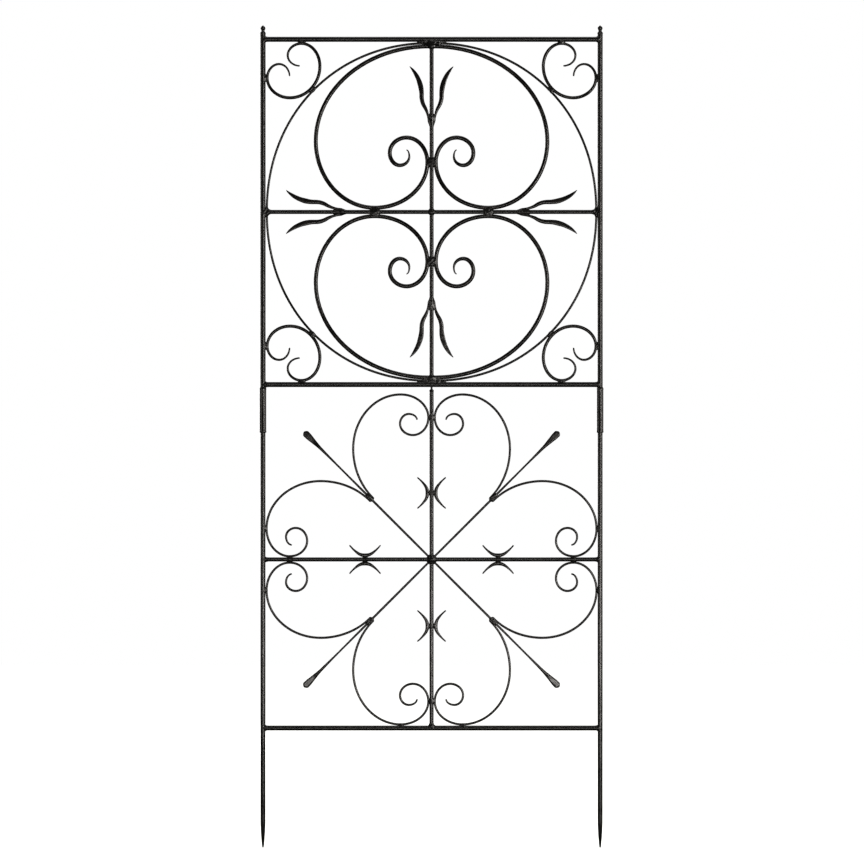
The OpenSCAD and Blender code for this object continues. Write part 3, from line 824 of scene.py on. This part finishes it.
def upper_seams():
    """Each weld of the upper panel: its x and z, its reach each way, and how it is laid."""
    w, h = half_w, half_h
    for s in (-1, 1):
        for z in (top_z, seam_z):
            yield s * (w - stile_r - 1 * MM), z, (8 * MM, 8 * MM), {"blend": 4 * MM, "proud": 0.4 * MM}
        # Middle bar, ring and stile; centre bar, ring and rail
        yield s * (ring_rx - 1 * MM), mid_z, (11 * MM, 11 * MM), {"blend": 8 * MM}
        yield 0, mid_z + s * (ring_rz - 2 * MM), (12 * MM, 11 * MM), {"blend": 7 * MM}
        for side in (-1, 1):
            yield side * 12 * MM, mid_z + s * (ring_rz - 0.5 * MM), (9 * MM, 8 * MM), {"blend": 6 * MM}
        yield 0, mid_z + s * (ring_rz + 2.5 * MM), (34 * MM, 5 * MM), {"blend": 4 * MM}
        # Two scrolls each side of the middle bar, and each side of the centre bar
        yield s * scroll_meet_x, mid_z, (11 * MM, 11 * MM), {"blend": 8 * MM}
        yield 0, mid_z + s * scroll_meet_z, (12 * MM, 11 * MM), {"blend": 8 * MM}
        # Leaf pairs
        yield 0, mid_z + s * (leaf_at + 3 * MM), (8 * MM, 17 * MM), {"blend": 5 * MM, "proud": 0.3 * MM}
        yield s * (leaf_at + 3 * MM), mid_z, (17 * MM, 8 * MM), {"blend": 5 * MM, "proud": 0.3 * MM}
    yield 0, mid_z, (9 * MM, 9 * MM), {"blend": 5 * MM}
    near = ring_point(math.radians(45)) + 1 * MM
    for v, s in each_quarter():
        a, b = LEVELS[v], SIDES[s]
        yield b * (w - corner_touch), mid_z + a * (h - rail_r - 0.5 * MM), (9 * MM, 7 * MM), {"blend": 5 * MM}
        yield b * (w - stile_r - 0.5 * MM), mid_z + a * (h - corner_touch), (7 * MM, 9 * MM), {
            "blend": 5 * MM}
        yield b * near[0], mid_z + a * near[1], (9 * MM, 9 * MM), {"blend": 4 * MM}


def lower_seams():
    for s in (-1, 1):
        yield s * (half_w - post_r - 1 * MM), bottom_z, (8 * MM, 8 * MM), {"blend": 4 * MM, "proud": 0.4 * MM}
        yield s * (half_w - post_r - 1 * MM), hub_z, (8 * MM, 8 * MM), {"blend": 4 * MM, "proud": 0.4 * MM}
    yield 0, bottom_z + rail_r, (9 * MM, 8 * MM), {"blend": 6 * MM}
    yield 0, hub_z, (12 * MM, 12 * MM), {"blend": 6 * MM}
    for v, s in each_quarter():
        a, b = LEVELS[v], SIDES[s]
        join = (fork + 5 * MM) * ray_way
        yield b * join[0], hub_z + a * join[1], (13 * MM, 8 * MM), {
            "blend": 4 * MM, "way": (b * ray_way[0], a * ray_way[1])}
        yield b * (half_w - post_r), hub_z + a * heart_out * heart_rz, (6 * MM, 7 * MM), {"blend": 4 * MM}
        if v == "bottom":
            yield b * heart_out * heart_rx, bottom_z + rail_r, (7 * MM, 6 * MM), {"blend": 4 * MM}
    for s in (-1, 1):
        yield 0, hub_z + s * heart_in * heart_rz, (9 * MM, 7 * MM), {"blend": 5 * MM}
        yield s * heart_in * heart_rx, hub_z, (7 * MM, 9 * MM), {"blend": 5 * MM}
        yield 0, hub_z + s * crescent_at, (9 * MM, 8 * MM), {"blend": 5 * MM}
        yield s * crescent_at, hub_z, (8 * MM, 9 * MM), {"blend": 5 * MM}


weld_piece("upper_weld_metal", UPPER, "upper_welds", upper_seams())
weld_piece("lower_weld_metal", LOWER, "lower_welds", lower_seams())

# ---------- Straight bars keep their CAD solids ----------

for node in ("left_stile", "right_stile", "top_rail", "seam_rail", "bottom_rail", "upper_centre_bar",
             "upper_mid_bar_left", "upper_mid_bar_right", "lower_centre_bar", "lower_mid_bar_left",
             "lower_mid_bar_right"):
    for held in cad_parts[node].material_slots:
        held.material = coated_bar


# ---------- Floor, light and camera ----------

def build_stage():
    size = 7
    mesh = bpy.data.meshes.new("floor")
    corners = [(-size, -size, 0), (size, -size, 0), (size, size, 0), (-size, size, 0)]
    mesh.from_pydata(corners, [], [(0, 1, 2, 3)])
    floor = bpy.data.objects.new("floor", mesh)
    floor.location.z = -0.4 * MM
    floor.visible_glossy = False
    bpy.context.scene.collection.objects.link(floor)
    made, tree = empty_material("matt_white_floor")
    shell = add(tree, "ShaderNodeBsdfPrincipled", {"Base Color": colour("#f7f7f5"), "Roughness": 0.9,
                                                   "Specular IOR Level": 0.0})
    add(tree, "ShaderNodeOutputMaterial", {"Surface": shell.outputs["BSDF"]})
    mesh.materials.append(made)


def build_light():
    """A white room: bright to the eye and on the floor, dim in the gloss of the paint."""
    world = bpy.data.worlds.new("studio")
    bpy.context.scene.world = world
    world.use_nodes = True
    tree = world.node_tree
    tree.nodes.clear()
    ray = add(tree, "ShaderNodeLightPath").outputs
    seen = add(tree, "ShaderNodeMath", {0: ray["Is Camera Ray"], 1: 0.98, 2: 0.02}, operation="MULTIPLY_ADD")
    spread = add(tree, "ShaderNodeMath", {0: ray["Is Diffuse Ray"], 1: 1.1, 2: seen.outputs["Value"]},
                 operation="MULTIPLY_ADD")
    glow = add(tree, "ShaderNodeBackground", {"Color": (1, 1, 1, 1), "Strength": spread.outputs["Value"]})
    add(tree, "ShaderNodeOutputWorld", {"Surface": glow.outputs["Background"]})
    for name, place, aim, size, power, tint in (
            ("right_softbox", (2.5, -3.1, 1.1), (0, 0, 1.0), (0.5, 2.4), 120, (1, 0.97, 0.93)),
            ("left_softbox", (-3.4, -1.9, 1.3), (0, 0, 1.0), (0.6, 2.2), 28, (1, 0.96, 0.9)),
            ("low_softbox", (0.2, -3.9, 0.25), (0, 0, 0.9), (2.2, 0.4), 42, (1, 0.97, 0.94)),
            ("far_right_softbox", (3.6, 0.5, 1.2), (0, 0, 1.0), (0.8, 2.2), 36, (1, 0.96, 0.92)),
            ("top_softbox", (0.2, -0.2, 4.2), (0, 0, 0.9), (1.8, 0.9), 26, (1, 1, 1)),
            ("back_softbox", (-1.4, 3.4, 1.6), (0, 0, 1.0), (0.8, 2.2), 30, (1, 1, 1))):
        lamp = bpy.data.lights.new(name, "AREA")
        lamp.shape = "RECTANGLE"
        lamp.size, lamp.size_y = size
        lamp.energy = power
        lamp.color = tint
        held = bpy.data.objects.new(name, lamp)
        held.location = place
        way = Vector(aim) - Vector(place)
        held.rotation_euler = way.to_track_quat("-Z", "Y").to_euler()
        bpy.context.scene.collection.objects.link(held)


def build_camera():
    """Straight on, from far away with a long lens."""
    middle_z = (cad_low.z + cad_high.z) / 2
    lens = bpy.data.cameras.new("camera")
    lens.sensor_width = 36
    away = 9.0
    seen = 1.922
    lens.lens = 36 * away / seen
    lens.clip_end = 60
    eye = bpy.data.objects.new("camera", lens)
    eye.location = (0.001, -away, middle_z + 0.01)
    eye.rotation_euler = (math.radians(90), 0, 0)
    bpy.context.scene.collection.objects.link(eye)
    bpy.context.scene.camera = eye


build_stage()
build_light()
build_camera()
bpy.context.scene.view_settings.view_transform = "Standard"
# A harder contrast that leaves white as it is
bpy.context.scene.view_settings.gamma = 0.8
